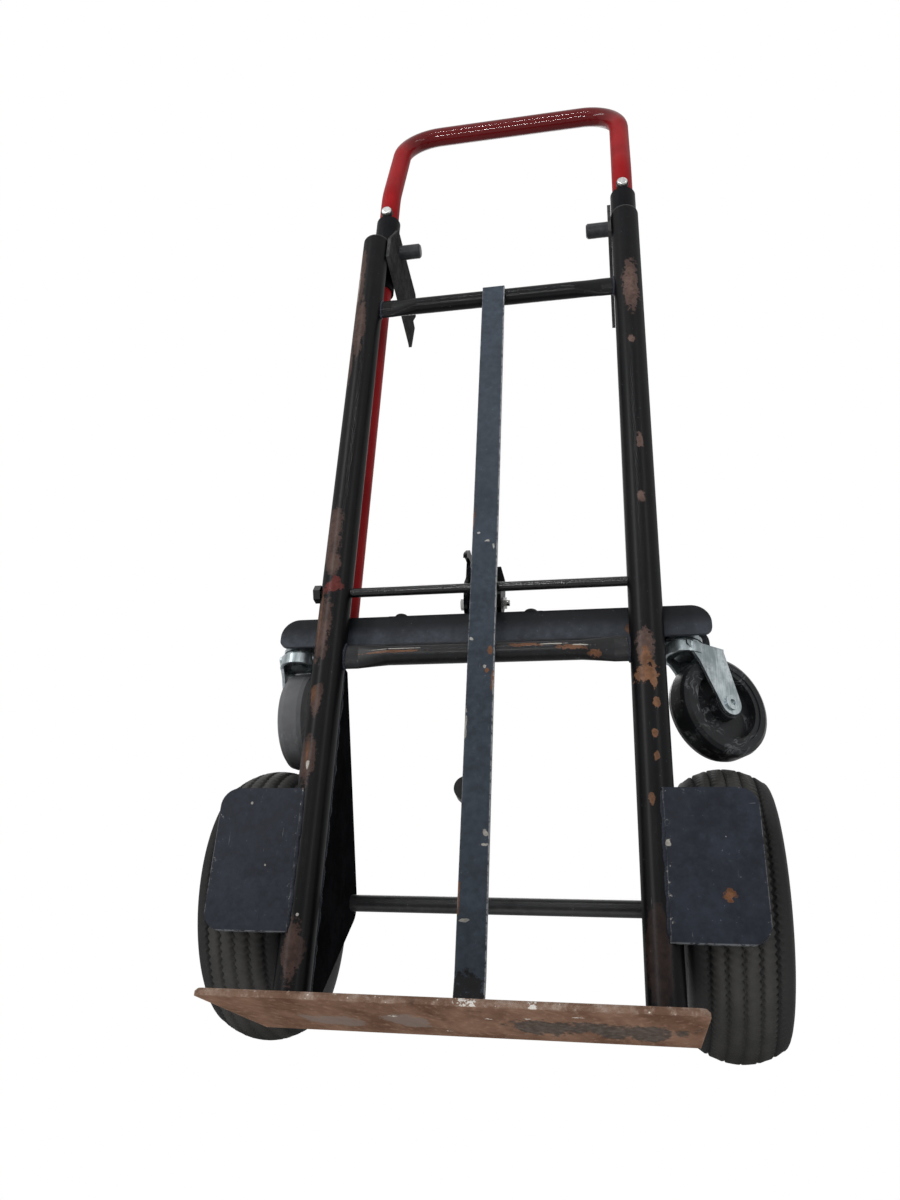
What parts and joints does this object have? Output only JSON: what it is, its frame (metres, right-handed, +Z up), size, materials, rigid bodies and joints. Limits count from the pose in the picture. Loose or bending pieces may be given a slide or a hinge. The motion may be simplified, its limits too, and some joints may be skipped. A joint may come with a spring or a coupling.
{
  "type": "convertible hand truck",
  "caption": "Convertible steel hand truck: uprights on a toe plate with pneumatic wheels, and a sliding, tilting handle loop with swivel casters and a latch.",
  "frame": {"origin": "on the underside of the toe plate, midway between the uprights and on their axis plane", "axes": "+Z up along the uprights, +X to the right seen from the load side, -Y towards the load"},
  "size_m": [0.5318, 0.3964, 1.2347],
  "materials": {
    "black_paint": "worn black paint with rust brown showing through",
    "strap_paint": "blue-black paint, chipped at the edges",
    "toe_paint": "worn paint over brown rust, lighter front edge",
    "red_paint": "deep red gloss",
    "grey_paint": "satin dark grey",
    "zinc": "dull mottled zinc plate",
    "bearing_steel": "bare steel",
    "rim_paint": "dark grey paint",
    "tyre_rubber": "dusty dark rubber with a ribbed tread",
    "soft_rubber": "black rubber",
    "cap_plastic": "black plastic, scuffed",
    "caster_rubber": "grey rubber, dusty",
    "valve_brass": "dull brass"
  },
  "bodies": {
    "frame": {"main_tube_left": "black_paint", "main_tube_right": "black_paint", "tube_caps": "cap_plastic", "toe_plate": "toe_paint", "top_crossbar": "black_paint", "mid_crossbar": "black_paint", "centre_strap": "strap_paint", "strap_bumper": "soft_rubber", "latch_rod": "black_paint", "axle_bracket_left": "black_paint", "axle_bracket_right": "black_paint", "axle": "black_paint", "axle_spacers": "black_paint", "axle_washers": "zinc", "cotter_pins": "zinc", "wheel_guard_left": "strap_paint", "wheel_guard_right": "strap_paint", "arm_plate_left": "grey_paint", "arm_plate_right": "grey_paint"},
    "wheel_left": {"tyre_left": "tyre_rubber", "inner_tube_left": "soft_rubber", "rim_outer_left": "rim_paint", "rim_inner_left": "rim_paint", "hub_left": "bearing_steel", "wheel_bearings_left": "bearing_steel", "rim_bolts_left": "zinc", "valve_left": "valve_brass"},
    "wheel_right": {"tyre_right": "tyre_rubber", "inner_tube_right": "soft_rubber", "rim_outer_right": "rim_paint", "rim_inner_right": "rim_paint", "hub_right": "bearing_steel", "wheel_bearings_right": "bearing_steel", "rim_bolts_right": "zinc", "valve_right": "valve_brass"},
    "swing": {"sleeve_left": "grey_paint", "sleeve_right": "grey_paint", "pivot_pin_left": "grey_paint", "pivot_pin_right": "grey_paint"},
    "handle": {"handle_loop": "red_paint", "stop_spacers": "soft_rubber", "stop_screws": "zinc", "caster_beam": "black_paint", "beam_bolts": "zinc", "latch_lugs": "black_paint", "latch_pivot_bolt": "zinc", "latch_pivot_nut": "zinc", "upper_races": "zinc", "kingpins": "zinc"},
    "latch": {"latch_hook": "black_paint"},
    "caster_left": {"fork_left": "zinc", "lower_race_left": "zinc", "caster_axle_left": "zinc"},
    "caster_right": {"fork_right": "zinc", "lower_race_right": "zinc", "caster_axle_right": "zinc"},
    "caster_wheel_left": {"caster_core_left": "cap_plastic", "caster_tread_left": "caster_rubber"},
    "caster_wheel_right": {"caster_core_right": "cap_plastic", "caster_tread_right": "caster_rubber"}
  },
  "joints": [
    {"name": "wheel_left_spin", "type": "hinge", "parent": "frame", "child": "wheel_left", "pos_m": [-0.214, 0.118, 0.127], "axis": [1, 0, 0], "continuous": true},
    {"name": "wheel_right_spin", "type": "hinge", "parent": "frame", "child": "wheel_right", "pos_m": [0.214, 0.118, 0.127], "axis": [1, 0, 0], "continuous": true},
    {"name": "handle_swing", "type": "hinge", "parent": "frame", "child": "swing", "pos_m": [0, 0.042, 0.941], "axis": [1, 0, 0], "range_deg": [0, 90]},
    {"name": "handle_slide", "type": "slide", "parent": "swing", "child": "handle", "axis": [0, 0, 1], "range_m": [0, 0.425]},
    {"name": "latch_drop", "type": "hinge", "parent": "handle", "child": "latch", "pos_m": [-0.007, 0.039, 0.412], "axis": [1, 0, 0], "range_deg": [0, 70]},
    {"name": "caster_left_swivel", "type": "hinge", "parent": "handle", "child": "caster_left", "pos_m": [-0.197, 0.042, 0.355], "axis": [0, 0, 1], "range_deg": [-36, 170]},
    {"name": "caster_right_swivel", "type": "hinge", "parent": "handle", "child": "caster_right", "pos_m": [0.187, 0.042, 0.355], "axis": [0, 0, 1], "range_deg": [-102, 80]},
    {"name": "caster_left_spin", "type": "hinge", "parent": "caster_left", "child": "caster_wheel_left", "pos_m": [-0.19578, 0.07698, 0.301], "axis": [0.9994, -0.0349, 0], "continuous": true},
    {"name": "caster_right_spin", "type": "hinge", "parent": "caster_right", "child": "caster_wheel_right", "pos_m": [0.21532, 0.06257, 0.301], "axis": [0.5878, -0.809, 0], "continuous": true}
  ]
}
